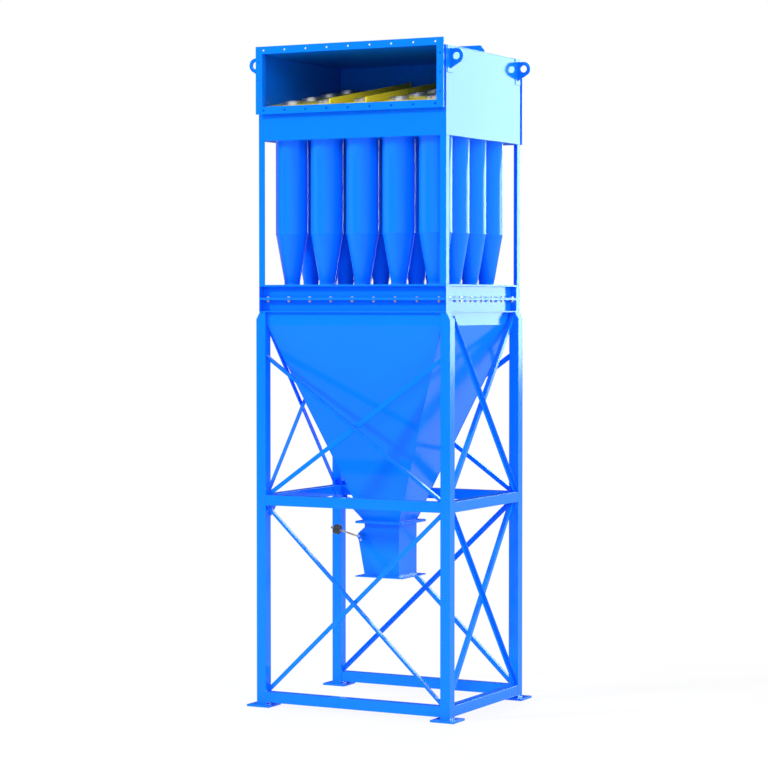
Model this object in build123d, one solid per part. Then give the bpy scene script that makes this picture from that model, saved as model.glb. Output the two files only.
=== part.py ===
from build123d import *
import os
from math import asin, atan2, cos, degrees, hypot, radians, sin, sqrt, tan

# Battery cyclone separator on its own stand, in millimetres.
# X runs to the right along the front, Y from front to back, Z up, and the
# origin is on the ground under the middle of the unit. Clean gas leaves
# through the front mouth, dusty gas enters through the lower back mouth.

# Plan of the unit over its flanges
unit_w = 1400.0
unit_d = 1136.0

# Square tube of the stand
tube = 70.0
tube_wall = 4.0
post_overhang = 26.0
post_inset = 6.0
post_top_z = 2655.0
post_chamfer_h = 47.0
mid_beam_z = 1358.0
base_beam_gap = 14.0

# Foot plates
foot_w = 170.0
foot_t = 14.0
anchor_pitch = 124.0
anchor_r = 9.0

# Angle braces and the packing plate where they cross
brace_leg = 30.0
brace_t = 4.0
packing_t = 6.0
brace_corner = 8.0
front_brace_top_z = 2355.0
side_brace_top_z = 2612.0

# Corner plates of the open left side, under its middle beam
knee_t = 8.0
knee_drop = 72.0
knee_lap = 20.0

# Skirts and their flanges between the stand and the cyclones
flange_t = 8.0
skirt_h = 74.0
skirt_t = 4.0
skirt_recess_x = 42.0
skirt_recess_y = 52.0
ledge = 16.0
sheet_t = 12.0

# Cyclones, in columns across the front and rows behind each other
columns = 5
rows = 4
pitch_x = 270.0
pitch_y = 258.0
row_shift = -12.0
cyclone_r = 109.5
cyclone_wall = 8.0
barrel_h = 620.0
cone_h = 308.0
neck_h = 33.0
neck_r = 53.0
sheet_hole_r = 48.0
flats = 20

# Head box
head_h = 580.0
wall_t = 5.0
roof_t = 5.0
floor_t = 8.0
hanger_leg = 45.0
hanger_t = 5.0

# Mouths and their drilled flanges
mouth_bar = 50.0
mouth_h = 350.0
collar_l = 40.0
collar_t = 5.0
bolt_pitch = 160.0
side_bolt_pitch = 124.0
flange_hole_r = 7.0

# Sloping tube sheet, exhaust tubes and the two ribs on it
slope_t = 6.0
sheet_lap = 13.0
exhaust_r = 66.5
exhaust_wall = 6.0
exhaust_proud = 20.0
exhaust_dip = 300.0
rib_h = 45.0
rib_t = 8.0

# Roof stiffener
roof_rib_h = 46.0
roof_rib_t = 6.0
roof_rib_chamfer_w = 27.0
roof_rib_chamfer_h = 33.0

# Lifting lugs
lug_t = 10.0
lug_eye_r = 48.0
lug_hole_r = 24.0
lug_reach = 46.0
lug_drop = 70.0
lug_root_h = 129.0
pad_w = 80.0
pad_h = 174.0
pad_t = 4.0
pad_gap = 3.0
front_lug_inset = 56.0
back_lug_inset = 41.0
pad_offset = 2.0

# Hopper
rim_clear = 4.0
rim_recess = 22.0
rim_h = 86.0
hopper_t = 4.0
hopper_outlet_w = 344.0
hopper_outlet_d = 330.0
hopper_flange_lip = 16.0

# Discharge chute, wider on its left side
chute_left = 214.0
chute_right = 168.0

# Flap valve
valve_w = 262.0
valve_t = 5.0
valve_flange_w = 356.0
valve_top_z = 1236.0
chute_h = 91.0
valve_h = 372.0
valve_hole_r = 6.5
valve_hole_inset = 26.0
bulge = 50.0
bulge_neck = 28.0
bulge_shoulder = 43.0
bulge_side = 27.0
spout_w = 200.0
spout_t = 4.0
boss_r = 20.0
boss_l = 12.0

# Flap, its shaft, lever and counterweight
pivot_inset = 10.0
pivot_drop = 105.0
shaft_r = 10.0
shaft_clear = 0.05
shaft_tail = 12.0
flap_t = 3.0
flap_l = 262.0
flap_side_gap = 14.0
flap_gap = 6.0
flap_hub_r = 15.0
lever_slope = 15.0
lever_r = 6.0
lever_l = 235.0
lever_hub_r = 16.0
lever_hub_l = 18.0
lever_gap = 16.0
weight_r = 38.0
weight_l = 36.0
weight_at = 188.0

# One overrun serves every cut
over = 5.0

FULL_TURN = 360
QUARTER_TURN = 90

# Half sizes and places worked out from the values above
half_w = unit_w / 2
half_d = unit_d / 2
post_x = half_w + post_overhang - tube / 2
post_y = half_d - post_inset - tube / 2
bay_x = post_x - tube / 2
bay_y = post_y - tube / 2
base_beam_z = foot_t + base_beam_gap
skirt_x = half_w - skirt_recess_x
skirt_y = half_d - skirt_recess_y
lower_plate_z = post_top_z
lower_skirt_z = lower_plate_z + flange_t
joint_z = lower_skirt_z + skirt_h + flange_t
upper_skirt_z = joint_z + flange_t
sheet_z = upper_skirt_z + skirt_h
cyclone_z = sheet_z + sheet_t
knee_z = cyclone_z + neck_h + cone_h
head_z = knee_z + barrel_h
roof_top_z = head_z + head_h
roof_z = roof_top_z - roof_t
mouth_w = unit_w - 2 * mouth_bar
outlet_z = roof_z - mouth_h
inlet_z = head_z + mouth_bar
inner_x = half_w - wall_t
inner_y = half_d - wall_t
slope_front_z = outlet_z
slope_back_z = inlet_z + mouth_h + sheet_lap
slope_rise_share = (slope_back_z - slope_front_z) / (2 * inner_y)
slope_drop = slope_t * hypot(1, slope_rise_share)
pivot_x = -(valve_w / 2 + pivot_inset)
pivot_z = valve_top_z - pivot_drop
hopper_rim_z = post_top_z - rim_h
rim_x = bay_x - rim_clear
rim_y = half_d - post_inset - rim_recess
chute_bottom_z = valve_top_z + flange_t
chute_top_z = chute_bottom_z + chute_h
hopper_outlet_z = chute_top_z + 2 * flange_t
chute_half_d = hopper_outlet_d / 2


def block(x0, x1, y0, y1, z0, z1):
    """Rectangular block between two corners."""
    size = (x1 - x0, y1 - y0, z1 - z0)
    return Pos((x0 + x1) / 2, (y0 + y1) / 2, (z0 + z1) / 2) * Box(*size)


def frame_block(half_x, half_y, inner_half_x, inner_half_y, z0, z1):
    """Rectangular ring about the Z axis."""
    outer = block(-half_x, half_x, -half_y, half_y, z0, z1)
    return outer - block(-inner_half_x, inner_half_x, -inner_half_y, inner_half_y, z0 - over, z1 + over)


def prism(points, direction):
    """Solid swept from a closed outline of 3-D points along a vector."""
    outline = make_face(Polyline(*points, close=True))
    return Solid.extrude(outline.face(), Vector(*direction))


def frustum(low, high):
    """Solid with flat sides between a lower and an upper outline of 3-D points."""
    ring = [*range(1, len(low)), 0]
    sides = [[low[i], low[j], high[j], high[i]] for i, j in enumerate(ring)]
    faces = [make_face(Polyline(*points, close=True)).face() for points in (low, high, *sides)]
    return Solid(Shell(faces))


def rectangle_at(z, x0, x1, y0, y1):
    """Corners of a level rectangle."""
    return [(x0, y0, z), (x1, y0, z), (x1, y1, z), (x0, y1, z)]


def ring_at(z, radius):
    """Corners of a level regular outline about the Z axis."""
    turns = [step * radians(FULL_TURN) / flats for step in range(flats)]
    return [(radius * cos(turn), radius * sin(turn), z) for turn in turns]


def flatted_bar(radius, z0, z1):
    """Upright bar with the flats of a rolled pipe."""
    return frustum(ring_at(z0, radius), ring_at(z1, radius))


def xz_prism(outline, y0, y1):
    """Outline of (x, z) points, swept from y0 to y1."""
    return prism([(x, y0, z) for x, z in outline], (0, y1 - y0, 0))


def yz_prism(outline, x0, x1):
    """Outline of (y, z) points, swept from x0 to x1."""
    return prism([(x0, y, z) for y, z in outline], (x1 - x0, 0, 0))


def y_rod(x, z, radius, y0, y1):
    """Round bar along Y."""
    return Pos(x, (y0 + y1) / 2, z) * Rot(QUARTER_TURN, 0, 0) * Cylinder(radius, y1 - y0)


def cyclone_centres():
    """Centres of the cyclones, one list for each row from front to back."""
    first_x = -(columns - 1) / 2 * pitch_x
    first_y = row_shift - (rows - 1) / 2 * pitch_y
    return [
        [(first_x + column * pitch_x, first_y + row * pitch_y) for column in range(columns)]
        for row in range(rows)
    ]


def slope_z(y):
    """Height of the sloping sheet's upper face at a depth."""
    return slope_front_z + (y + inner_y) * slope_rise_share


def corners():
    """Signs of the four corners with their names."""
    return [
        ("front_left", -1, -1),
        ("front_right", 1, -1),
        ("back_left", -1, 1),
        ("back_right", 1, 1),
    ]


def mirrored(solid, side_x, side_y):
    """Copy of a front-right solid for another corner."""
    if side_x < 0:
        solid = mirror(solid, about=Plane.YZ)
    if side_y > 0:
        solid = mirror(solid, about=Plane.XZ)
    return solid


def post():
    """Front-right post: capped square tube with a sloped outer top, let through its foot plate."""
    outer_x = post_x + tube / 2
    inner_face = post_x - tube / 2
    near_y = -post_y - tube / 2
    outline = [
        (inner_face, foot_t),
        (outer_x, foot_t),
        (outer_x, post_top_z - post_chamfer_h),
        (half_w, post_top_z),
        (inner_face, post_top_z),
    ]
    chamfer_run = tube_wall * hypot(post_overhang, post_chamfer_h) / post_chamfer_h
    bore_x = outer_x - tube_wall
    bore_top = post_top_z - tube_wall
    bore_slope_x = outer_x - chamfer_run
    bore_corner_z = post_top_z - post_chamfer_h - (bore_x - bore_slope_x) * post_chamfer_h / post_overhang
    bore_top_x = bore_slope_x - (bore_top - post_top_z + post_chamfer_h) * post_overhang / post_chamfer_h
    bore = [
        (inner_face + tube_wall, -over),
        (bore_x, -over),
        (bore_x, bore_corner_z),
        (bore_top_x, bore_top),
        (inner_face + tube_wall, bore_top),
    ]
    shell = xz_prism(outline, near_y, near_y + tube)
    reach = foot_w / 2
    plate = block(post_x - reach, post_x + reach, -post_y - reach, -post_y + reach, 0, foot_t)
    for sign_x in (-1, 1):
        for sign_y in (-1, 1):
            x = post_x + sign_x * anchor_pitch / 2
            y = -post_y + sign_y * anchor_pitch / 2
            plate -= Pos(x, y, foot_t / 2) * Cylinder(anchor_r, foot_t + 2 * over)
    return shell + plate - xz_prism(bore, near_y + tube_wall, near_y + tube - tube_wall)


def beam_x(y_sign, z):
    """Square tube along X between two posts."""
    y0 = y_sign * post_y - tube / 2
    outer = block(-bay_x, bay_x, y0, y0 + tube, z, z + tube)
    inner = block(
        -bay_x - over, bay_x + over,
        y0 + tube_wall, y0 + tube - tube_wall,
        z + tube_wall, z + tube - tube_wall,
    )
    return outer - inner


def beam_y(x_sign, z):
    """Square tube along Y between two posts."""
    x0 = x_sign * post_x - tube / 2
    outer = block(x0, x0 + tube, -bay_y, bay_y, z, z + tube)
    inner = block(
        x0 + tube_wall, x0 + tube - tube_wall,
        -bay_y - over, bay_y + over,
        z + tube_wall, z + tube - tube_wall,
    )
    return outer - inner


def brace(start, end, layer):
    """Angle bar from start to end, points in a panel seen from outside.

    A layer of -1 lies in front of the packing plate and 1 behind it. The leg
    that stands out is along the upper edge and points away from the packing.
    """
    run = end[0] - start[0]
    rise = end[1] - start[1]
    length = hypot(run, rise)
    lean = atan2(rise, run)
    seat = layer * packing_t / 2
    back = seat + layer * brace_t
    tip = seat + layer * brace_leg
    rim = brace_leg / 2
    section = [
        (seat, -rim),
        (back, -rim),
        (back, rim - brace_t),
        (tip, rim - brace_t),
        (tip, rim),
        (seat, rim),
    ]
    outline = [(-length / 2 - brace_leg, y, z) for y, z in section]
    bar = prism(outline, (length + 2 * brace_leg, 0, 0))
    middle = ((start[0] + end[0]) / 2, 0, (start[1] + end[1]) / 2)
    return Pos(*middle) * Rot(0, -degrees(lean), 0) * bar


def cross(half_span, low_z, high_z, floor_z, ceiling_z):
    """Two crossing angles trimmed to the bay: the falling one with the packing plate, and the rising one."""
    bay = block(-half_span, half_span, -tube, tube, floor_z, ceiling_z)
    falling = brace((-half_span, high_z), (half_span, low_z), -1) & bay
    rising = brace((-half_span, low_z), (half_span, high_z), 1) & bay
    half = brace_leg / 2
    middle_z = (low_z + high_z) / 2
    plate = Pos(0, 0, middle_z) * block(-half, half, -packing_t / 2, packing_t / 2, -half, half)
    return [falling, plate], [rising]


def bracing(half_span, upper_top_z, with_lower):
    """Crosses of one side of the stand in the XZ plane: falling bars with packing, and rising bars."""
    mid_top = mid_beam_z + tube
    falling, rising = cross(half_span, mid_top, upper_top_z, mid_top, post_top_z)
    if with_lower:
        base_top = base_beam_z + tube
        low_end = base_top + brace_corner
        high_end = mid_beam_z - brace_corner
        low_falling, low_rising = cross(half_span, low_end, high_end, base_top, mid_beam_z)
        falling += low_falling
        rising += low_rising
    return {"falling": falling, "rising": rising}


def knee_plate(side_y):
    """Corner plate inside the left side, on the post and the middle beam."""
    corner = bay_y
    low = mid_beam_z - knee_drop
    top = mid_beam_z + tube
    outline = [
        (-corner - knee_lap, low),
        (-corner, low),
        (-corner + top - low, top),
        (-corner, top),
        (-corner, mid_beam_z),
        (-corner - knee_lap, mid_beam_z),
    ]
    return mirrored(yz_prism(outline, -bay_x, -bay_x + knee_t), 1, side_y)


def skirt_ring(z):
    """Recessed band between two flanges, with its corner angles."""
    band = frame_block(skirt_x, skirt_y, skirt_x - skirt_t, skirt_y - skirt_t, z, z + skirt_h)
    for _, side_x, side_y in corners():
        wing = block(skirt_x - skirt_t, half_w, -skirt_y, -skirt_y + skirt_t, z, z + skirt_h)
        cheek = block(half_w - skirt_t, half_w, -half_d, -skirt_y + skirt_t, z, z + skirt_h)
        band += mirrored(wing + cheek, side_x, side_y)
    return band


def upper_skirt():
    """Band under the lower tube sheet with the upper half of the bolted joint."""
    flange = frame_block(half_w, half_d, skirt_x - skirt_t, skirt_y - skirt_t, joint_z, upper_skirt_z)
    return skirt_ring(upper_skirt_z) + flange


def lower_skirt():
    """Band on the hopper plate with the lower half of the bolted joint."""
    flange = frame_block(half_w, half_d, skirt_x - skirt_t, skirt_y - skirt_t, joint_z - flange_t, joint_z)
    plate = frame_block(half_w, half_d, skirt_x - ledge, skirt_y - ledge, lower_plate_z, lower_skirt_z)
    return skirt_ring(lower_skirt_z) + flange + plate


def lower_tube_sheet():
    """Plate that the cone necks stand on, with an outlet hole for each."""
    plate = block(-half_w, half_w, -half_d, half_d, sheet_z, cyclone_z)
    for row in cyclone_centres():
        for x, y in row:
            plate -= Pos(x, y, 0) * flatted_bar(sheet_hole_r, sheet_z - over, cyclone_z + over)
    return plate


def cyclone(x, y):
    """Barrel, cone and neck of one cyclone, open at both ends."""
    neck_z = cyclone_z + neck_h
    bore_r = cyclone_r - cyclone_wall
    outlet_r = neck_r - cyclone_wall
    barrel = flatted_bar(cyclone_r, knee_z, head_z) - flatted_bar(bore_r, knee_z, head_z)
    cone = frustum(ring_at(neck_z, neck_r), ring_at(knee_z, cyclone_r))
    cone -= frustum(ring_at(neck_z, outlet_r), ring_at(knee_z, bore_r))
    neck = flatted_bar(neck_r, cyclone_z, neck_z) - flatted_bar(outlet_r, cyclone_z, neck_z)
    return Pos(x, y, 0) * (barrel + cone + neck)


def hanger_angle():
    """Front-right corner angle between the tube sheet and the head."""
    front = block(half_w - hanger_leg, half_w, -half_d, -half_d + hanger_t, cyclone_z, head_z)
    side = block(half_w - hanger_t, half_w, -half_d, -half_d + hanger_leg, cyclone_z, head_z)
    return front + side


def head_floor():
    """Floor of the inlet chamber, open over each cyclone."""
    top_z = head_z + floor_t
    plate = block(-inner_x, inner_x, -inner_y, inner_y, head_z, top_z)
    cutter = flatted_bar(cyclone_r - cyclone_wall, head_z - over, top_z + over)
    for row in cyclone_centres():
        for x, y in row:
            plate -= Pos(x, y, 0) * cutter
    return plate


def side_wall(side_x):
    """Left or right wall of the head."""
    wall = block(inner_x, half_w, -half_d, half_d, head_z, roof_z)
    return mirrored(wall, side_x, -1)


def end_wall(y0, mouth_z):
    """Front or back wall of the head with its mouth."""
    y1 = y0 + wall_t
    reach = mouth_w / 2
    wall = block(-inner_x, inner_x, y0, y1, head_z, roof_z)
    return wall - block(-reach, reach, y0 - over, y1 + over, mouth_z, mouth_z + mouth_h)


def mouth_flange(wall_y, outward, mouth_z):
    """Collar and drilled flange around a mouth, standing out from a wall."""
    face_y = wall_y + outward * collar_l
    back_y = face_y - outward * flange_t
    sleeve_y = sorted((wall_y, face_y))
    plate_y = sorted((back_y, face_y))
    hole_x = mouth_w / 2
    sleeve = block(
        -hole_x - collar_t, hole_x + collar_t, sleeve_y[0], sleeve_y[1],
        mouth_z - collar_t, mouth_z + mouth_h + collar_t,
    )
    plate = block(
        -half_w, half_w, plate_y[0], plate_y[1],
        mouth_z - mouth_bar, mouth_z + mouth_h + mouth_bar,
    )
    bore = block(-hole_x, hole_x, sleeve_y[0] - over, sleeve_y[1] + over, mouth_z, mouth_z + mouth_h)
    middle_z = mouth_z + mouth_h / 2
    for x, z in flange_holes():
        plate -= y_rod(x, middle_z + z, flange_hole_r, plate_y[0] - over, plate_y[1] + over)
    return sleeve + plate - bore


def flange_holes():
    """Hole places of a mouth flange about the middle of the mouth."""
    row_z = (mouth_h + mouth_bar) / 2
    column_x = (mouth_w + mouth_bar) / 2
    reach = int(mouth_w / 2 / bolt_pitch)
    holes = [(step * bolt_pitch, side * row_z) for side in (-1, 1) for step in range(-reach, reach + 1)]
    holes += [(side * column_x, step * side_bolt_pitch) for side in (-1, 1) for step in (-1, 0, 1)]
    return holes


def sloping_sheet():
    """Upper tube sheet, rising from the front mouth to over the back mouth."""
    outline = [
        (-inner_y, slope_front_z),
        (inner_y, slope_back_z),
        (inner_y, slope_back_z - slope_drop),
        (-inner_y, slope_front_z - slope_drop),
    ]
    sheet = yz_prism(outline, -inner_x, inner_x)
    for row in cyclone_centres():
        for x, y in row:
            sheet -= Pos(x, y, 0) * flatted_bar(exhaust_r, head_z, roof_z)
    return sheet


def exhaust_tubes():
    """Exhaust tubes with their tops cut parallel to the sloping sheet."""
    foot_z = head_z - exhaust_dip
    sky = yz_prism(
        [
            (-half_d, slope_z(-half_d) + exhaust_proud),
            (half_d, slope_z(half_d) + exhaust_proud),
            (half_d, roof_top_z + mouth_h),
            (-half_d, roof_top_z + mouth_h),
        ],
        -half_w, half_w,
    )
    tubes = []
    for row in cyclone_centres():
        for x, y in row:
            pipe = flatted_bar(exhaust_r, foot_z, roof_z)
            pipe -= flatted_bar(exhaust_r - exhaust_wall, foot_z - over, roof_z + over)
            tubes.append(Pos(x, y, 0) * pipe - sky)
    return tubes


def sheet_ribs():
    """Two flat bars on the sloping sheet, between columns of tubes."""
    face_y = -half_d - collar_l
    outline = [
        (face_y, slope_front_z),
        (-inner_y, slope_front_z),
        (inner_y, slope_back_z),
        (inner_y, slope_back_z + rib_h),
        (face_y, slope_z(face_y) + rib_h),
    ]
    places = [sign * pitch_x / 2 for sign in (-1, 1)]
    return [yz_prism(outline, x - rib_t / 2, x + rib_t / 2) for x in places]


def roof():
    """Roof plate with one flat stiffener across it."""
    plate = block(-half_w, half_w, -half_d, half_d, roof_z, roof_top_z)
    crest = roof_top_z + roof_rib_h
    shoulder = crest - roof_rib_chamfer_h
    inner = half_w - roof_rib_chamfer_w
    outline = [
        (-half_w, roof_z),
        (half_w, roof_z),
        (half_w, shoulder),
        (inner, crest),
        (-inner, crest),
        (-half_w, shoulder),
    ]
    return plate + xz_prism(outline, -roof_rib_t / 2, roof_rib_t / 2)


def lug(side_y):
    """Right-hand lifting lug on its doubler pad, near the front or the back."""
    lug_y = half_d - back_lug_inset if side_y > 0 else -half_d + front_lug_inset
    pad_y = lug_y - pad_offset
    pad_top = roof_top_z - pad_gap
    pad = block(half_w, half_w + pad_t, pad_y - pad_w / 2, pad_y + pad_w / 2, pad_top - pad_h, pad_top)
    root_x = half_w + pad_t
    eye_x = half_w + lug_reach
    eye_z = roof_top_z - lug_drop
    root_top = eye_z + lug_eye_r
    root_bottom = root_top - lug_root_h
    run = eye_x - root_x
    rise = eye_z - root_bottom
    tangent = sqrt(run * run + rise * rise - lug_eye_r * lug_eye_r)
    lean = atan2(rise, run) - asin(lug_eye_r / hypot(run, rise))
    outline = [
        (root_x, root_bottom),
        (root_x + tangent * cos(lean), root_bottom + tangent * sin(lean)),
        (eye_x, eye_z),
        (eye_x, root_top),
        (root_x, root_top),
    ]
    eye = y_rod(eye_x, eye_z, lug_eye_r, lug_y - lug_t / 2, lug_y + lug_t / 2)
    eye &= block(root_x, eye_x + lug_eye_r, lug_y - lug_t, lug_y + lug_t, root_bottom, root_top)
    plate = xz_prism(outline, lug_y - lug_t / 2, lug_y + lug_t / 2) + eye
    plate -= y_rod(eye_x, eye_z, lug_hole_r, lug_y - lug_t, lug_y + lug_t)
    return pad + plate


def hopper():
    """Rim, four sloping sides and the bolted outlet flange."""
    outlet_x = hopper_outlet_w / 2
    outlet_y = hopper_outlet_d / 2
    rim = frame_block(rim_x, rim_y, rim_x - hopper_t, rim_y - hopper_t, hopper_rim_z, post_top_z)
    sides = frustum(
        rectangle_at(hopper_outlet_z, -outlet_x, outlet_x, -outlet_y, outlet_y),
        rectangle_at(hopper_rim_z, -rim_x, rim_x, -rim_y, rim_y),
    )
    sides -= frustum(
        rectangle_at(hopper_outlet_z, *outlet_plan()),
        rectangle_at(hopper_rim_z, hopper_t - rim_x, rim_x - hopper_t, hopper_t - rim_y, rim_y - hopper_t),
    )
    flange = block(*chute_flange_plan(), hopper_outlet_z - flange_t, hopper_outlet_z)
    flange -= block(*outlet_plan(), hopper_outlet_z - flange_t - over, hopper_outlet_z + over)
    return rim + sides + flange


def outlet_plan():
    """Clear opening of the hopper outlet in plan."""
    half_x = hopper_outlet_w / 2 - hopper_t
    half_y = hopper_outlet_d / 2 - hopper_t
    return -half_x, half_x, -half_y, half_y


def chute_flange_plan():
    """Outline of the flanges between hopper and chute in plan."""
    lip = hopper_flange_lip
    return -chute_left - lip, chute_right + lip, -chute_half_d - lip, chute_half_d + lip


def chute():
    """Short chute, offset to the left at its top, down to the valve."""
    half = valve_w / 2
    clear = half - valve_t
    clear_y = chute_half_d - valve_t
    walls = frustum(
        rectangle_at(chute_bottom_z, -half, half, -half, half),
        rectangle_at(chute_top_z, -chute_left, chute_right, -chute_half_d, chute_half_d),
    )
    walls -= frustum(
        rectangle_at(chute_bottom_z, -clear, clear, -clear, clear),
        rectangle_at(chute_top_z, valve_t - chute_left, chute_right - valve_t, -clear_y, clear_y),
    )
    top = block(*chute_flange_plan(), chute_top_z, chute_top_z + flange_t)
    top -= block(
        valve_t - chute_left, chute_right - valve_t, -clear_y, clear_y,
        chute_top_z - over, chute_top_z + flange_t + over,
    )
    return walls + top + valve_flange(valve_top_z, clear)


def valve_flange(z, clear_half):
    """Square flange of the valve."""
    half = valve_flange_w / 2
    return frame_block(half, half, clear_half, clear_half, z, z + flange_t)


def discharge_flange():
    """Lowest flange, drilled for whatever the valve empties into."""
    bottom = valve_top_z - valve_h
    plate = valve_flange(bottom, valve_w / 2 - valve_t)
    line = valve_flange_w / 2 - valve_hole_inset
    for x, y in [(i * line, j * line) for i in (-1, 0, 1) for j in (-1, 0, 1) if i or j]:
        plate -= Pos(x, y, bottom + flange_t / 2) * Cylinder(valve_hole_r, flange_t + 2 * over)
    return plate


def valve_outline(inset):
    """Side profile of the valve body, bulged to the left around the pivot."""
    half = valve_w / 2 - inset
    top = valve_top_z - flange_t
    bottom = valve_top_z - valve_h + flange_t
    ends = over if inset else 0
    neck = top - bulge_neck
    knee = neck - bulge_shoulder
    return [
        (-half, top + ends),
        (-half, neck),
        (-half - bulge, knee),
        (-half - bulge, knee - bulge_side),
        (-half, bottom - ends),
        (half, bottom - ends),
        (half, top + ends),
    ]


def valve_body():
    """Valve casing with flanges, shaft bosses and the slanted inner spout."""
    half = valve_w / 2
    body = xz_prism(valve_outline(0), -half, half)
    body -= xz_prism(valve_outline(valve_t), -half + valve_t, half - valve_t)
    throat = spout_w / 2 - spout_t
    body += valve_flange(valve_top_z - flange_t, throat)
    body += discharge_flange()
    outer = spout_w / 2
    spout = frame_block(outer, outer, throat, throat, valve_top_z - valve_h, valve_top_z - flange_t)
    fall_share = tan(radians(lever_slope))
    seat_z = pivot_z + flap_gap + flap_t
    left_z = seat_z - (-half - pivot_x) * fall_share
    right_z = seat_z - (half - pivot_x) * fall_share
    low_z = valve_top_z - 2 * valve_h
    under_outline = [
        (-half, left_z),
        (half, right_z),
        (half, low_z),
        (-half, low_z),
    ]
    under = xz_prism(under_outline, -half, half)
    body += spout - under
    for sign in (-1, 1):
        ends = sorted((sign * half, sign * (half + boss_l)))
        body += y_rod(pivot_x, pivot_z, boss_r, *ends)
    reach = half + boss_l + over
    return body - y_rod(pivot_x, pivot_z, shaft_r + shaft_clear, -reach, reach)


def along_lever(distance, side):
    """Point on the lever line at a distance to the left, and one beside it."""
    lean = radians(lever_slope)
    x = pivot_x - distance * cos(lean) + side * sin(lean)
    z = pivot_z + distance * sin(lean) + side * cos(lean)
    return x, z


def lever_y():
    """Depth of the lever, in front of the shaft boss."""
    return -(valve_w / 2 + boss_l + lever_gap)


def flap():
    """Shaft with the flap plate inside the valve and the lever in front of it."""
    front_end = lever_y() - lever_hub_l / 2 - over
    back_end = valve_w / 2 + boss_l + shaft_tail
    half_plate = valve_w / 2 - valve_t - flap_side_gap
    shaft = y_rod(pivot_x, pivot_z, shaft_r, front_end, back_end)
    hub = y_rod(pivot_x, pivot_z, flap_hub_r, -half_plate, half_plate)
    plate_outline = [
        along_lever(0, flap_t / 2),
        along_lever(-flap_l, flap_t / 2),
        along_lever(-flap_l, -flap_t / 2),
        along_lever(0, -flap_t / 2),
    ]
    plate = xz_prism(plate_outline, -half_plate, half_plate)
    clamp = y_rod(pivot_x, pivot_z, lever_hub_r, lever_y() - lever_hub_l / 2, lever_y() + lever_hub_l / 2)
    return shaft + hub + plate + clamp + lever_rod(lever_r, 0, lever_l)


def lever_rod(radius, start, end):
    """Round bar on the lever line between two distances from the pivot."""
    x, z = along_lever((start + end) / 2, 0)
    bar = Rot(0, lever_slope - QUARTER_TURN, 0) * Cylinder(radius, end - start)
    return Pos(x, lever_y(), z) * bar


def counterweight():
    """Disc threaded on the lever rod."""
    disc = lever_rod(weight_r, weight_at - weight_l / 2, weight_at + weight_l / 2)
    return disc - lever_rod(lever_r, weight_at - weight_l, weight_at + weight_l)


def build_parts():
    """All nodes by name."""
    parts = {
        "roof": roof(),
        "head_wall_left": side_wall(-1),
        "head_wall_right": side_wall(1),
        "head_wall_front": end_wall(-half_d, outlet_z),
        "head_wall_back": end_wall(inner_y, inlet_z),
        "head_floor": head_floor(),
        "outlet_flange": mouth_flange(-half_d, -1, outlet_z),
        "inlet_flange": mouth_flange(half_d, 1, inlet_z),
        "sloping_tube_sheet": sloping_sheet(),
        "sheet_ribs": Compound(children=sheet_ribs()),
        "exhaust_tubes": Compound(children=exhaust_tubes()),
        "lower_tube_sheet": lower_tube_sheet(),
        "upper_skirt": upper_skirt(),
        "lower_skirt": lower_skirt(),
        "hopper": hopper(),
        "discharge_chute": chute(),
        "valve_body": valve_body(),
        "flap": flap(),
        "counterweight": counterweight(),
    }
    front = bracing(bay_x, front_brace_top_z, True)
    right = bracing(bay_y, side_brace_top_z, True)
    left = bracing(bay_y, side_brace_top_z, False)
    to_front = Pos(0, -post_y, 0)
    to_right = Pos(post_x, 0, 0) * Rot(0, 0, QUARTER_TURN)
    for way in ("falling", "rising"):
        near = Compound(children=[to_front * bar for bar in front[way]])
        parts[f"braces_front_{way}"] = near
        parts[f"braces_back_{way}"] = mirror(near, about=Plane.XZ)
        parts[f"braces_right_{way}"] = Compound(children=[to_right * bar for bar in right[way]])
        far = Compound(children=[to_right * bar for bar in left[way]])
        parts[f"braces_left_{way}"] = mirror(far, about=Plane.YZ)
    for number, row in enumerate(cyclone_centres(), start=1):
        parts[f"cyclones_row_{number}"] = Compound(children=[cyclone(x, y) for x, y in row])
    for level, z in (("mid", mid_beam_z), ("base", base_beam_z)):
        parts[f"{level}_beam_front"] = beam_x(-1, z)
        parts[f"{level}_beam_back"] = beam_x(1, z)
        parts[f"{level}_beam_right"] = beam_y(1, z)
    parts["mid_beam_left"] = beam_y(-1, mid_beam_z)
    parts["knee_plates"] = Compound(children=[knee_plate(-1), knee_plate(1)])
    for name, side_x, side_y in corners():
        parts[f"post_{name}"] = mirrored(post(), side_x, side_y)
        parts[f"hanger_{name}"] = mirrored(hanger_angle(), side_x, side_y)
        parts[f"lug_{name}"] = lug(side_y) if side_x > 0 else Rot(0, 0, 2 * QUARTER_TURN) * lug(-side_y)
    return parts


def main():
    """Write one STEP file for each node."""
    os.makedirs("parts", exist_ok=True)
    for name, shape in build_parts().items():
        export_step(shape, f"parts/{name}.step")


main()
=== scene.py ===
"""Looks of a battery cyclone separator: enamel, bare steel, fastenings, weld seams and a plain studio."""

import logging
import math
from dataclasses import dataclass, field
from enum import Enum
from typing import Iterable, Sequence, Union

import bmesh
import bpy
from mathutils import Matrix, Vector


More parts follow.
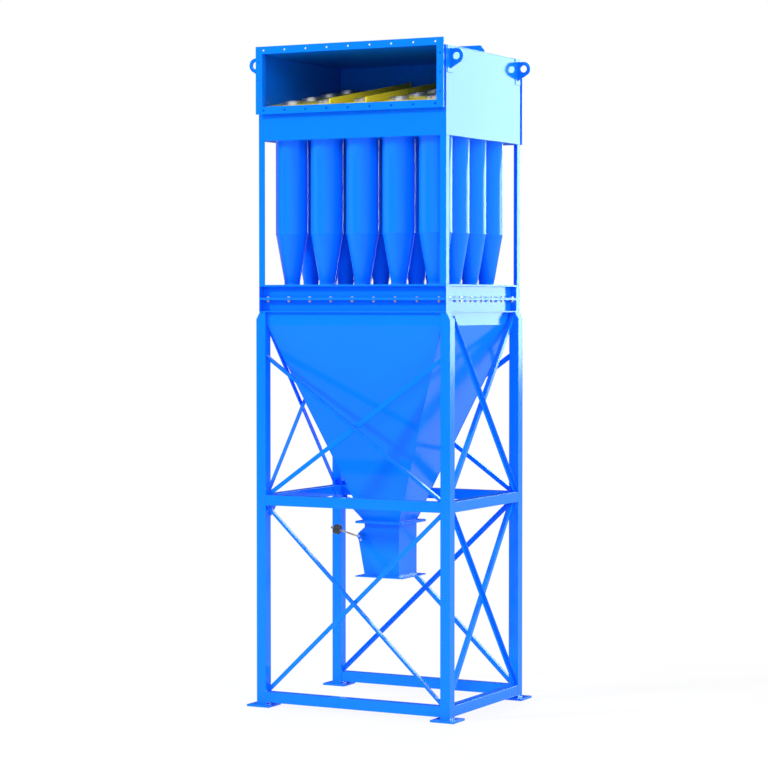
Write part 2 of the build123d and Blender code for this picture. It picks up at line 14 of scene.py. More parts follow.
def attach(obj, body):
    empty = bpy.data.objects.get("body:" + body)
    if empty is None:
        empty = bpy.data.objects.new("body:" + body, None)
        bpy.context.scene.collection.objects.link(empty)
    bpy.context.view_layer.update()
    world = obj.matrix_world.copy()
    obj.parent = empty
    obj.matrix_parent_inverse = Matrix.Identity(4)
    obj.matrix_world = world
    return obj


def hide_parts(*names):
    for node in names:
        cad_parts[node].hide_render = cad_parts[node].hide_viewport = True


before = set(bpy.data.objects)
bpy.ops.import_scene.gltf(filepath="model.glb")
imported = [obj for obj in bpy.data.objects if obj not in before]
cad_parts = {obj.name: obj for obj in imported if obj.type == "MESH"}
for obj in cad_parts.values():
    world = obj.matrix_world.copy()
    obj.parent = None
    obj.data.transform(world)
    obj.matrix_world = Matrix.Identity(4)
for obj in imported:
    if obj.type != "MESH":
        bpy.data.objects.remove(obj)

LOG = logging.getLogger("cyclone_separator")
FULL_TURN = 2 * math.pi
# Lengths are in metres, and these two angles in degrees.
SAME_HEIGHT = 1e-6
SAME_POINT = 1e-5
SAME_PLANE = 0.5
CREASE = 40.0
EDGE_STEPS = 2
ROUND_STEPS = 8
HEXAGON = 6
WHITE = (1.0, 1.0, 1.0, 1.0)
CORNERS = ((-1, -1), (-1, 1), (1, -1), (1, 1))
Colour = tuple[float, float, float]
Point = tuple[float, float, float]
Outline = Sequence[tuple[float, float]]


class Body(Enum):
    """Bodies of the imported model."""

    CASING = "casing"
    FLAP = "flap_lever"


class Slot(Enum):
    """Material slots of the record."""

    BLUE = "blue_paint"
    YELLOW = "yellow_paint"
    STEEL = "bare_steel"
    WEIGHT = "weight_grey"


class Signal:
    """An output socket, with shader maths written as plain expressions."""

    def __init__(self, sheet: "NodeSheet", socket: bpy.types.NodeSocket) -> None:
        """Wraps a socket.

        Args:
            sheet: Node sheet that the socket is on.
            socket: Output socket.
        """
        self.sheet = sheet
        self.socket = socket

    def _maths(self, operation: str, first: "Value", second: "Value") -> "Signal":
        """Adds a Math node.

        Args:
            operation: Name of the Math operation.
            first: Upper input.
            second: Lower input.

        Returns:
            The node's result.
        """
        return self.sheet.signal("ShaderNodeMath", {"operation": operation}, {0: first, 1: second})

    def __add__(self, other: "Value") -> "Signal":
        """This plus another."""
        return self._maths("ADD", self, other)

    def __radd__(self, other: "Value") -> "Signal":
        """Another plus this."""
        return self._maths("ADD", other, self)

    def __sub__(self, other: "Value") -> "Signal":
        """This less another."""
        return self._maths("SUBTRACT", self, other)

    def __rsub__(self, other: "Value") -> "Signal":
        """Another less this."""
        return self._maths("SUBTRACT", other, self)

    def __mul__(self, other: "Value") -> "Signal":
        """This times another."""
        return self._maths("MULTIPLY", self, other)

    def __rmul__(self, other: "Value") -> "Signal":
        """Another times this."""
        return self._maths("MULTIPLY", other, self)

    def between(self, low: float, high: float) -> "Signal":
        """Smooth step from 0 at low to 1 at high."""
        return self.sheet.signal(
            "ShaderNodeMapRange",
            {"interpolation_type": "SMOOTHSTEP"},
            {"Value": self, "From Min": low, "From Max": high, "To Min": 0.0, "To Max": 1.0},
        )


Value = Union[Signal, float, tuple]


class NodeSheet:
    """Node tree of one material or world."""

    def __init__(self, owner: Union[bpy.types.Material, bpy.types.World]) -> None:
        """Empties the owner's node tree.

        Args:
            owner: Material or world that the nodes belong to.
        """
        owner.use_nodes = True
        self.tree = owner.node_tree
        self.tree.nodes.clear()

    def node(self, kind: str, settings: dict, inputs: dict) -> bpy.types.Node:
        """Adds a node.

        Args:
            kind: Node type.
            settings: Properties of the node, set first.
            inputs: Socket names or numbers, with their values or signals.

        Returns:
            The new node.
        """
        made = self.tree.nodes.new(kind)
        for key, value in settings.items():
            setattr(made, key, value)
        for key, value in inputs.items():
            socket = made.inputs[key]
            if isinstance(value, Signal):
                self.tree.links.new(value.socket, socket)
            else:
                socket.default_value = value
        return made

    def signal(self, kind: str, settings: dict, inputs: dict, output: Union[int, str] = 0) -> Signal:
        """Adds a node and hands on one of its outputs."""
        return Signal(self, self.node(kind, settings, inputs).outputs[output])

    def mix(self, factor: Value, first: Value, second: Value) -> Signal:
        """Mixes two colours.

        Args:
            factor: Share of the second colour.
            first: First colour.
            second: Second colour.

        Returns:
            The mixed colour.
        """
        chosen = {"data_type": "RGBA", "clamp_factor": True}
        return self.signal("ShaderNodeMix", chosen, {0: factor, 6: first, 7: second}, 2)

    def place(self) -> Signal:
        """Object coordinates."""
        return self.signal("ShaderNodeTexCoord", {}, {}, "Object")

    def stretched(self, scale: Colour) -> Signal:
        """Object coordinates, scaled along each axis."""
        return self.signal("ShaderNodeMapping", {}, {"Vector": self.place(), "Scale": scale})

    def noise(self, vector: Value, scale: float, detail: float) -> Signal:
        """Soft noise from 0 to 1.

        Args:
            vector: Coordinates.
            scale: Grains per metre.
            detail: Octaves of finer grain.

        Returns:
            The noise value.
        """
        return self.signal("ShaderNodeTexNoise", {}, {"Vector": vector, "Scale": scale, "Detail": detail})

    def facing_up(self) -> Signal:
        """How far the surface faces up, from -1 to 1."""
        normal = self.signal("ShaderNodeNewGeometry", {}, {}, "Normal")
        return self.signal("ShaderNodeSeparateXYZ", {}, {"Vector": normal}, "Z")

    def bump(self, height: Value, distance: float, strength: float) -> Signal:
        """Bump from a height in the unit of the distance, in metres."""
        inputs = {"Height": height, "Distance": distance, "Strength": strength}
        return self.signal("ShaderNodeBump", {}, inputs)

    def output(self, shader: bpy.types.Node, kind: str = "ShaderNodeOutputMaterial") -> None:
        """Links a shader to a new output node."""
        made = self.tree.nodes.new(kind)
        self.tree.links.new(shader.outputs[0], made.inputs["Surface"])


def opaque(colour: Colour) -> tuple[float, float, float, float]:
    """Colour with full alpha."""
    return (*colour, 1.0)


@dataclass(frozen=True)
class Finish:
    """A surface finish with its own procedural material."""

    name: str
    colour: Colour

    def looks(self, sheet: NodeSheet) -> dict:
        """Inputs of the finish's surface shader.

        Args:
            sheet: Node sheet that takes the nodes.

        Returns:
            Socket names with their values or signals.
        """
        raise NotImplementedError

    def material(self) -> bpy.types.Material:
        """Builds the material, once.

        Returns:
            The material.
        """
        if self.name in bpy.data.materials:
            return bpy.data.materials[self.name]
        made = bpy.data.materials.new(self.name)
        sheet = NodeSheet(made)
        sheet.output(sheet.node("ShaderNodeBsdfPrincipled", {}, self.looks(sheet)))
        return made


@dataclass(frozen=True)
class Enamel(Finish):
    """Sprayed gloss enamel with a faint orange peel, uneven tint and a film of dust on what faces up."""

    roughness: float = 0.13
    specular: float = 0.12
    tint_depth: float = 0.05
    cloud_grain: float = 2.2
    cloud_matt: float = 0.08
    dust: Colour = (0.42, 0.45, 0.48)
    dust_share: float = 0.1
    dust_grain: float = 55.0
    dust_matt: float = 0.5
    peel_grain: float = 420.0
    peel_height: float = 0.0001
    peel_strength: float = 0.15

    def looks(self, sheet: NodeSheet) -> dict:
        """Inputs of the enamel's surface shader."""
        place = sheet.place()
        cloud = sheet.noise(place, self.cloud_grain, 3.0)
        speck = sheet.noise(place, self.dust_grain, 2.0)
        deep = opaque(tuple(part * (1 - self.tint_depth) for part in self.colour))
        pale = opaque(tuple(part * (1 + self.tint_depth) for part in self.colour))
        paint = sheet.mix(cloud, deep, pale)
        settled = sheet.facing_up().between(0.35, 0.95) * speck.between(0.3, 0.75) * self.dust_share
        peel = sheet.noise(place, self.peel_grain, 1.0)
        return {
            "Base Color": sheet.mix(settled, paint, opaque(self.dust)),
            "Roughness": self.roughness + (cloud - 0.5) * self.cloud_matt + settled * self.dust_matt,
            "Specular IOR Level": self.specular,
            "Normal": sheet.bump(peel, self.peel_height, self.peel_strength),
        }


@dataclass(frozen=True)
class BareMetal(Finish):
    """Metal left bare or thinly plated, with fine marks along one axis and duller patches."""

    dull: Colour
    grain: Colour = (160.0, 160.0, 12.0)
    roughness: float = 0.32
    metallic: float = 1.0
    mark_matt: float = 0.16
    mark_height: float = 0.0002
    mark_strength: float = 0.3
    patch_grain: float = 14.0
    patch_matt: float = 0.1

    def looks(self, sheet: NodeSheet) -> dict:
        """Inputs of the metal's surface shader."""
        marks = sheet.noise(sheet.stretched(self.grain), 1.0, 3.0)
        patch = sheet.noise(sheet.place(), self.patch_grain, 4.0).between(0.35, 0.7)
        return {
            "Base Color": sheet.mix(patch, opaque(self.colour), opaque(self.dull)),
            "Roughness": self.roughness + marks * self.mark_matt + patch * self.patch_matt,
            "Metallic": self.metallic,
            "Normal": sheet.bump(marks, self.mark_height, self.mark_strength),
        }


@dataclass(frozen=True)
class CastPaint(Finish):
    """Dull paint over a rough casting."""

    worn: Colour
    roughness: float = 0.62
    lump_grain: float = 260.0
    lump_matt: float = 0.2
    lump_height: float = 0.0006
    lump_strength: float = 0.6
    chip_grain: float = 60.0

    def looks(self, sheet: NodeSheet) -> dict:
        """Inputs of the painted casting's surface shader."""
        place = sheet.place()
        lumps = sheet.noise(place, self.lump_grain, 4.0)
        chips = sheet.noise(place, self.chip_grain, 5.0).between(0.62, 0.7)
        return {
            "Base Color": sheet.mix(chips, opaque(self.colour), opaque(self.worn)),
            "Roughness": self.roughness + (lumps - 0.5) * self.lump_matt,
            "Normal": sheet.bump(lumps, self.lump_height, self.lump_strength),
        }


BLUE = Enamel("blue_enamel", (0.003, 0.19, 1.0))
YELLOW = Enamel("yellow_enamel", (0.9, 0.76, 0.03), roughness=0.34, specular=0.3)
PIPE_STEEL = BareMetal("drawn_pipe_steel", (0.72, 0.72, 0.7), (0.5, 0.5, 0.49))
ZINC = BareMetal("zinc_plate", (0.8, 0.82, 0.86), (0.62, 0.63, 0.64), roughness=0.3)
PASSIVATED = BareMetal("yellow_zinc_plate", (0.74, 0.6, 0.36), (0.5, 0.42, 0.28), roughness=0.34)
ROD_STEEL = BareMetal("lever_rod_steel", (0.74, 0.66, 0.48), (0.52, 0.45, 0.32), (12.0, 160.0, 160.0))
WEIGHT_PAINT = CastPaint("weight_paint", (0.055, 0.056, 0.035), (0.22, 0.21, 0.15))


class Work:
    """A mesh in the making, shaped by mesh operators."""

    def __init__(self) -> None:
        """Starts an empty mesh."""
        self.mesh = bmesh.new()

    def cast(self, name: str) -> bpy.types.Mesh:
        """Ends the work as mesh data.

        Args:
            name: Name of the mesh data.

        Returns:
            The mesh data.
        """
        data = bpy.data.meshes.new(name)
        self.mesh.to_mesh(data)
        self.mesh.free()
        return data

    def add(self, pattern: bpy.types.Mesh, matrix: Matrix) -> None:
        """Adds a copy of a pattern.

        Args:
            pattern: Mesh data of the pattern.
            matrix: Place and turn of the copy.
        """
        known = len(self.mesh.verts)
        self.mesh.from_mesh(pattern)
        self.mesh.verts.ensure_lookup_table()
        bmesh.ops.transform(self.mesh, matrix=matrix, verts=self.mesh.verts[known:])

    def spin(self, outline: Outline, steps: int) -> None:
        """Turns a closed outline of radius and height about the Z axis.

        Args:
            outline: Points of radius and height.
            steps: Number of flats around.
        """
        points = [self.mesh.verts.new((radius, 0.0, height)) for radius, height in outline]
        edges = [self.mesh.edges.new(pair) for pair in zip(points, points[1:] + points[:1])]
        bmesh.ops.spin(
            self.mesh, geom=points + edges, cent=(0, 0, 0), axis=(0, 0, 1),
            angle=FULL_TURN, steps=steps, use_merge=True,
        )
        bmesh.ops.recalc_face_normals(self.mesh, faces=self.mesh.faces)

    def disc(self, radius: float, low: float, high: float, sides: int, edge: float) -> None:
        """Adds a solid disc or nut blank with its rims bevelled.

        Args:
            radius: Radius at the corners.
            low: Height of its underside.
            high: Height of its top.
            sides: Number of sides.
            edge: Width of the bevel.
        """
        made = bmesh.ops.create_cone(
            self.mesh,
            cap_ends=True,
            segments=sides,
            radius1=radius,
            radius2=radius,
            depth=high - low,
            matrix=Matrix.Translation((0, 0, (low + high) / 2)),
        )
        rims = [line for line in touching(made["verts"]) if rise(line) < SAME_HEIGHT]
        bevel(self.mesh, rims, edge, EDGE_STEPS)

    def bar(self, width: float, depth: float, height: float, round_by: float) -> None:
        """Adds a block about the origin with its upright edges rounded.

        Args:
            width: Size along X.
            depth: Size along Y.
            height: Size along Z.
            round_by: Radius of its upright edges.
        """
        size = Matrix.Diagonal((width, depth, height, 1.0))
        made = bmesh.ops.create_cube(self.mesh, size=1.0, matrix=size)
        upright = [line for line in touching(made["verts"]) if rise(line) > height / 2]
        bevel(self.mesh, upright, round_by, ROUND_STEPS)

    def moved(self, matrix: Matrix, name: str) -> bpy.types.Mesh:
        """Ends the work as mesh data, moved into place."""
        bmesh.ops.transform(self.mesh, matrix=matrix, verts=self.mesh.verts)
        return self.cast(name)


def facing(way: Vector) -> Matrix:
    """Turn that brings the Z axis to a direction."""
    return way.to_track_quat("Z", "Y").to_matrix().to_4x4()


def touching(verts: Iterable[bmesh.types.BMVert]) -> set[bmesh.types.BMEdge]:
    """Edges that meet any of the points."""
    return {line for vert in verts for line in vert.link_edges}


def rise(line: bmesh.types.BMEdge) -> float:
    """Difference in height between an edge's ends."""
    return abs(line.verts[0].co.z - line.verts[1].co.z)


def hang(name: str, data: bpy.types.ID) -> bpy.types.Object:
    """Adds an object of the data to the scene."""
    made = bpy.data.objects.new(name, data)
    bpy.context.scene.collection.objects.link(made)
    return made


def bevel(mesh: bmesh.types.BMesh, edges: list, width: float, segments: int) -> None:
    """Bevels edges.

    Args:
        mesh: The mesh.
        edges: Its edges that are bevelled.
        width: Width of the bevel.
        segments: Steps across it.
    """
    bmesh.ops.bevel(
        mesh, geom=edges, offset=width, offset_type="OFFSET", segments=segments, profile=0.5,
        affect="EDGES", clamp_overlap=True, material=-1,
    )


def piece(
    name: str, data: bpy.types.Mesh, finish: Finish, body: Body, stands_for: Iterable[str] = (),
    edge: float = 0.0, crease: float = CREASE,
) -> None:
    """Makes a finished piece of mesh data.

    Args:
        name: Name of the piece.
        data: Its mesh, in place.
        finish: Its finish.
        body: Body that it rides on.
        stands_for: CAD nodes that it replaces.
        edge: Width of the bevel on its sharp edges, or none.
        crease: Angle in degrees from which an edge is sharp.
    """
    made = hang(name, data)
    data.name = name
    data.materials.clear()
    data.materials.append(finish.material())
    data.shade_smooth()
    data.set_sharp_from_angle(angle=math.radians(crease))
    if edge:
        rounding = made.modifiers.new("edges", "BEVEL")
        rounding.width = edge
        rounding.segments = EDGE_STEPS
        rounding.limit_method = "ANGLE"
        rounding.angle_limit = math.radians(crease)
        rounding.use_clamp_overlap = True
        flat = made.modifiers.new("flat_faces", "WEIGHTED_NORMAL")
        flat.weight = 100
        flat.keep_sharp = True
    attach(made, body.value)
    for node in stands_for:
        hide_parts(node)
    LOG.info("%s: %d faces", name, len(data.polygons))


def copied(node: str) -> bpy.types.Mesh:
    """Copy of a CAD node's mesh, merged into whole faces.

    Args:
        node: Name of the node.

    Returns:
        The merged mesh data.
    """
    work = Work()
    work.mesh.from_mesh(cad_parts[node].data)
    bmesh.ops.remove_doubles(work.mesh, verts=work.mesh.verts, dist=SAME_POINT)
    bmesh.ops.dissolve_limit(
        work.mesh, angle_limit=math.radians(SAME_PLANE), verts=work.mesh.verts, edges=work.mesh.edges,
        delimit={"NORMAL"},
    )
    return work.cast(node)


def softened(
    node: str, finish: Finish, edge: float, body: Body = Body.CASING, crease: float = CREASE,
) -> None:
    """Makes the piece that stands for a CAD node, with its edges rounded.

    Args:
        node: Name of the node.
        finish: Its finish.
        edge: Width of the rounding.
        body: Body that it rides on.
        crease: Angle in degrees from which an edge is sharp.
    """
    piece(f"{node}_rounded", copied(node), finish, body, (node,), edge, crease)


@dataclass
class Battery:
    """Cyclones with their cones and exhaust tubes, spun round.

    The knee seam is given as steps out from the barrel and up from the knee.
    """

    columns: int = 5
    rows: int = 4
    pitch_x: float = 0.27
    pitch_y: float = 0.258
    shift_y: float = -0.012
    radius: float = 0.1095
    wall: float = 0.008
    neck_radius: float = 0.053
    foot_z: float = 2.838
    neck_z: float = 2.871
    knee_z: float = 3.179
    top_z: float = 3.8
    tube_radius: float = 0.0665
    tube_wall: float = 0.006
    tube_foot_z: float = 3.5
    slope_front_z: float = 4.025
    slope_front_y: float = -0.563
    slope_share: float = 0.16696
    proud: float = 0.02
    lip: float = 0.001
    bead: float = 0.003
    knee_seam: tuple[tuple[float, float], ...] = (
        (-0.0008, -0.005), (0.0008, -0.003), (0.0014, 0.0), (0.0008, 0.003), (0.0, 0.005),
    )
    pattern_foot: float = -1.0
    steps: int = 64

    def centres(self, row: int) -> list[tuple[float, float]]:
        """Centres of one row of cyclones, from left to right."""
        y = self.shift_y + (row - (self.rows - 1) / 2) * self.pitch_y
        return [((column - (self.columns - 1) / 2) * self.pitch_x, y) for column in range(self.columns)]

    def slope_z(self, y: float) -> float:
        """Height of the sloping sheet at a depth."""
        return self.slope_front_z + (y - self.slope_front_y) * self.slope_share

    def barrel(self) -> bpy.types.Mesh:
        """Pattern of one barrel with its cone, neck and seams."""
        work = Work()
        bead, outer, low = self.bead, self.radius, self.neck_radius
        work.spin(
            [
                (low - self.wall, self.foot_z),
                (low + 2 * bead, self.foot_z),
                (low + 1.5 * bead, self.foot_z + bead),
                (low, self.foot_z + 2 * bead),
                (low, self.neck_z - bead),
                (low + 0.3 * bead, self.neck_z - bead / 2),
                (low + 0.6 * bead, self.neck_z + bead / 2),
                *((outer + out, self.knee_z + up) for out, up in self.knee_seam),
                (outer, self.top_z - 2 * bead),
                (outer + bead, self.top_z),
                (outer - self.wall, self.top_z),
                (outer - self.wall, self.knee_z),
                (low - self.wall, self.neck_z),
            ],
            self.steps,
        )
        return work.cast("barrel_pattern")

    def tube(self) -> bpy.types.Mesh:
        """Pattern of one exhaust tube with a level top at height zero."""
        work = Work()
        inner, lip = self.tube_radius - self.tube_wall, self.lip
        work.spin(
            [
                (inner, self.pattern_foot),
                (self.tube_radius, self.pattern_foot),
                (self.tube_radius, -lip),
                (self.tube_radius - lip, 0.0),
                (inner + lip, 0.0),
                (inner, -lip),
            ],
            self.steps,
        )
        return work.cast("tube_pattern")

    def add_pipe(self, work: Work, pattern: bpy.types.Mesh, x: float, y: float) -> None:
        """Adds one exhaust tube, cut off along the sloping sheet.

        Args:
            work: Mesh that takes the tube.
            pattern: Tube with a level top.
            x: Place of its centre along X.
            y: Place of its centre along Y.
        """
        known = len(work.mesh.verts)
        work.add(pattern, Matrix.Translation((x, y, 0)))
        top = self.slope_z(y) + self.proud
        for vert in work.mesh.verts[known:]:
            if vert.co.z < self.pattern_foot / 2:
                vert.co.z = self.tube_foot_z
            else:
                vert.co.z += top + (vert.co.y - y) * self.slope_share

    def build(self) -> None:
        """Builds the rows of barrels and the exhaust tubes."""
        barrel, tube = self.barrel(), self.tube()
        pipes = Work()
        for row in range(self.rows):
            work = Work()
            for x, y in self.centres(row):
                work.add(barrel, Matrix.Translation((x, y, 0)))
                self.add_pipe(pipes, tube, x, y)
            piece(f"barrels_row_{row + 1}", work.cast("barrels"), BLUE, Body.CASING,
                  (f"cyclones_row_{row + 1}",))
        piece("exhaust_pipes", pipes.cast("tubes"), PIPE_STEEL, Body.CASING, ("exhaust_tubes",))


def corner_radius(across: float) -> float:
    """Radius at the corners of a hexagon of a given width across its flats."""
    return across / math.sqrt(3)


@dataclass
class Fastener:
    """Hexagon bolt through two plates, head up, with a washer on each side and a nut."""

    across: float = 0.016
    head_h: float = 0.0064
    washer_r: float = 0.01
    washer_t: float = 0.002
    nut_h: float = 0.008
    tail: float = 0.004
    washer_edge: float = 0.0004
    hexagon_edge: float = 0.0008
    tail_edge: float = 0.001
    washer_sides: int = 20
    tail_sides: int = 14

    def head(self) -> bpy.types.Mesh:
        """Pattern of the head with its washer, seated on height zero."""
        work = Work()
        work.disc(self.washer_r, 0.0, self.washer_t, self.washer_sides, self.washer_edge)
        top = self.washer_t + self.head_h
        work.disc(corner_radius(self.across), self.washer_t, top, HEXAGON, self.hexagon_edge)
        return work.cast("bolt_head")

    def nut(self) -> bpy.types.Mesh:
        """Pattern of the nut with its washer and the bolt's end, hanging from height zero."""
        work = Work()
        work.disc(self.washer_r, -self.washer_t, 0.0, self.washer_sides, self.washer_edge)
        low = -self.washer_t - self.nut_h
        work.disc(corner_radius(self.across), low, -self.washer_t, HEXAGON, self.hexagon_edge)
        work.disc(self.across / 3, low - self.tail, low, self.tail_sides, self.tail_edge)
        return work.cast("bolt_nut")


@dataclass
class SkirtJoint:
    """Bolted joint between the two skirts, with each bolt turned by an amount that depends on its place."""

    front_y: float = 0.549
    side_x: float = 0.68
    pitch: float = 0.16
    front_reach: int = 4
    side_reach: int = 3
    top_z: float = 2.752
    bottom_z: float = 2.736
    turn_by_x: float = 7.0
    turn_by_y: float = 5.0
    fastener: Fastener = field(default_factory=Fastener)

    def places(self) -> list[tuple[float, float]]:
        """Places of the bolts in plan."""
        front = [(i * self.pitch, side * self.front_y)
                 for side in (-1, 1) for i in range(-self.front_reach, self.front_reach + 1)]
        sides = [(side * self.side_x, i * self.pitch)
                 for side in (-1, 1) for i in range(-self.side_reach, self.side_reach + 1)]
        return front + sides

    def build(self) -> None:
        """Builds all heads as one piece and all nuts as another."""
        for name, pattern, z, finish in (
            ("joint_bolt_heads", self.fastener.head(), self.top_z, ZINC),
            ("joint_bolt_nuts", self.fastener.nut(), self.bottom_z, PASSIVATED),
        ):
            work = Work()
            for x, y in self.places():
                turn = Matrix.Rotation(x * self.turn_by_x + y * self.turn_by_y, 4, "Z")
                work.add(pattern, Matrix.Translation((x, y, z)) @ turn)
            piece(name, work.cast(name), finish, Body.CASING)


@dataclass
class Casing:
    """Sheet and plate work that stands for its CAD nodes with rounded edges."""

    plate_edge: float = 0.0012
    tube_edge: float = 0.002
    flap_edge: float = 0.0006
    fold: float = 12.0
    plates: tuple[str, ...] = (
        "roof", "head_wall_left", "head_wall_right", "head_wall_front", "head_wall_back", "head_floor",
        "outlet_flange", "inlet_flange", "lower_tube_sheet", "upper_skirt", "lower_skirt", "knee_plates",
    )
    folded: tuple[str, ...] = ("hopper", "discharge_chute", "valve_body")
    beams: tuple[str, ...] = (
        "mid_beam_front", "mid_beam_right", "mid_beam_back", "mid_beam_left",
        "base_beam_front", "base_beam_right", "base_beam_back",
    )
    corners: tuple[str, ...] = ("front_left", "front_right", "back_left", "back_right")
    sides: tuple[str, ...] = ("front", "right", "back", "left")

    def build(self) -> None:
        """Builds the plates, the stand, and the flap with its lever."""
        for node in self.plates:
            softened(node, BLUE, self.plate_edge)
        for node in self.folded:
            softened(node, BLUE, self.plate_edge, crease=self.fold)
        for node in ("sloping_tube_sheet", "sheet_ribs"):
            softened(node, YELLOW, self.plate_edge)
        for corner in self.corners:
            softened(f"post_{corner}", BLUE, self.tube_edge, crease=self.fold)
            softened(f"hanger_{corner}", BLUE, self.plate_edge)
            softened(f"lug_{corner}", BLUE, self.plate_edge)
        for node in self.beams:
            softened(node, BLUE, self.tube_edge, crease=self.fold)
        for side in self.sides:
            for way in ("falling", "rising"):
                softened(f"braces_{side}_{way}", BLUE, self.plate_edge, crease=self.fold)
        softened("flap", ROD_STEEL, self.flap_edge, Body.FLAP)


@dataclass
class FlapGear:
    """Counterweight, its nuts, and the clamp that holds the lever on the flap's shaft.

    The groove in the counterweight's faces is given as shares of its radius.
    """

    pivot: Point = (-0.141, -0.168, 1.131)
    slope: float = 15.0
    weight_at: float = 0.188
    weight_r: float = 0.034
    weight_half: float = 0.018
    weight_steps: int = 48
    bore_r: float = 0.0062
    groove: tuple[float, float, float, float] = (0.45, 0.5, 0.8, 0.86)
    groove_depth: float = 0.002
    nut_across: float = 0.017
    nut_h: float = 0.007
    nut_edge: float = 0.0008
    clear: float = 0.0004
    rod_end_at: float = 0.235
    hub_r: float = 0.016
    hub_half: float = 0.009
    sleeve_t: float = 0.0012
    sleeve_steps: int = 40
    clamp_w: float = 0.03
    clamp_h: float = 0.054
    clamp_t: float = 0.006
    clamp_round: float = 0.48
    clamp_edge: float = 0.0008
    clamp_slope: float = -29.0
    screw_at: float = 0.0155
    screw_r: float = 0.0055
    screw_h: float = 0.004
    screw_edge: float = 0.0006
    washer_r: float = 0.008
    washer_t: float = 0.0014
    washer_edge: float = 0.0003
    washer_sides: int = 24

    def along(self, distance: float) -> Matrix:
        """Frame at a distance along the rod, with Z along the rod."""
        angle = math.radians(self.slope)
        rod = Vector((-math.cos(angle), 0.0, math.sin(angle)))
        return Matrix.Translation(Vector(self.pivot) + rod * distance) @ facing(rod)

    def across(self, out: float, aside: float = 0.0) -> Matrix:
        """Frame on the shaft's front end, with Z out of the front and Y along the clamp.

        Args:
            out: Distance in front of the lever's middle plane.
            aside: Distance from the shaft along the clamp.

        Returns:
            The frame.
        """
        turned = Matrix.Translation(self.pivot) @ Matrix.Rotation(math.radians(self.clamp_slope), 4, "Y")
        return turned @ Matrix.Rotation(math.radians(90), 4, "X") @ Matrix.Translation((0.0, aside, out))

    def weight(self) -> None:
        """Builds the cast disc that stands for the counterweight, grooved on both faces."""
        work = Work()
        radius, half, deep = self.weight_r, self.weight_half, self.groove_depth
        rim_in, floor_in, floor_out, rim_out = (radius * share for share in self.groove)
        lower = [
            (self.bore_r, -half),
            (rim_in, -half),
            (floor_in, -half + deep),
            (floor_out, -half + deep),
            (rim_out, -half),
            (radius - deep, -half),
            (radius, -half + deep),
        ]
        upper = [(out, -height) for out, height in reversed(lower)]
        work.spin(lower + upper, self.weight_steps)
        data = work.moved(self.along(self.weight_at), "disc")
        piece("counterweight_disc", data, WEIGHT_PAINT, Body.FLAP, ("counterweight",))

    def nuts(self) -> None:
        """Builds the two nuts beside the weight and the cap nut on the rod's end."""
        blank = Work()
        blank.disc(corner_radius(self.nut_across), 0.0, self.nut_h, HEXAGON, self.nut_edge)
        pattern = blank.cast("rod_nut")
        work = Work()
        for distance in (
            self.weight_at - self.weight_half - self.nut_h - self.clear,
            self.weight_at + self.weight_half + self.clear,
            self.rod_end_at - self.nut_h,
        ):
            work.add(pattern, self.along(distance))
        piece("rod_nuts", work.cast("rod_nuts"), PASSIVATED, Body.FLAP)

    def clamp(self) -> None:
        """Builds the painted clamp plate."""
        work = Work()
        work.bar(self.clamp_w, self.clamp_h, self.clamp_t, self.clamp_w * self.clamp_round)
        data = work.moved(self.across(self.hub_half + self.clamp_t / 2), "clamp_plate")
        piece("lever_clamp", data, BLUE, Body.FLAP, edge=self.clamp_edge)

    def sleeve(self) -> None:
        """Builds the painted sleeve on the lever's hub."""
        work = Work()
        inner, outer, half = self.hub_r, self.hub_r + self.sleeve_t, self.hub_half
        work.spin([(inner, -half), (outer, -half), (outer, half), (inner, half)], self.sleeve_steps)
        piece("hub_sleeve", work.moved(self.across(0.0), "hub_sleeve"), BLUE, Body.FLAP)

    def screws(self) -> None:
        """Builds the two screws of the clamp."""
        head = Work()
        head.disc(self.washer_r, 0.0, self.washer_t, self.washer_sides, self.washer_edge)
        head.disc(self.screw_r, self.washer_t, self.washer_t + self.screw_h, HEXAGON, self.screw_edge)
        pattern = head.cast("screw")
        work = Work()
        for aside in (-self.screw_at, self.screw_at):
            work.add(pattern, self.across(self.hub_half + self.clamp_t, aside))
        piece("clamp_screws", work.cast("clamp_screws"), ZINC, Body.FLAP)

    def build(self) -> None:
        """Builds the gear on the lever."""
        for part in (self.weight, self.nuts, self.clamp, self.sleeve, self.screws):
            part()


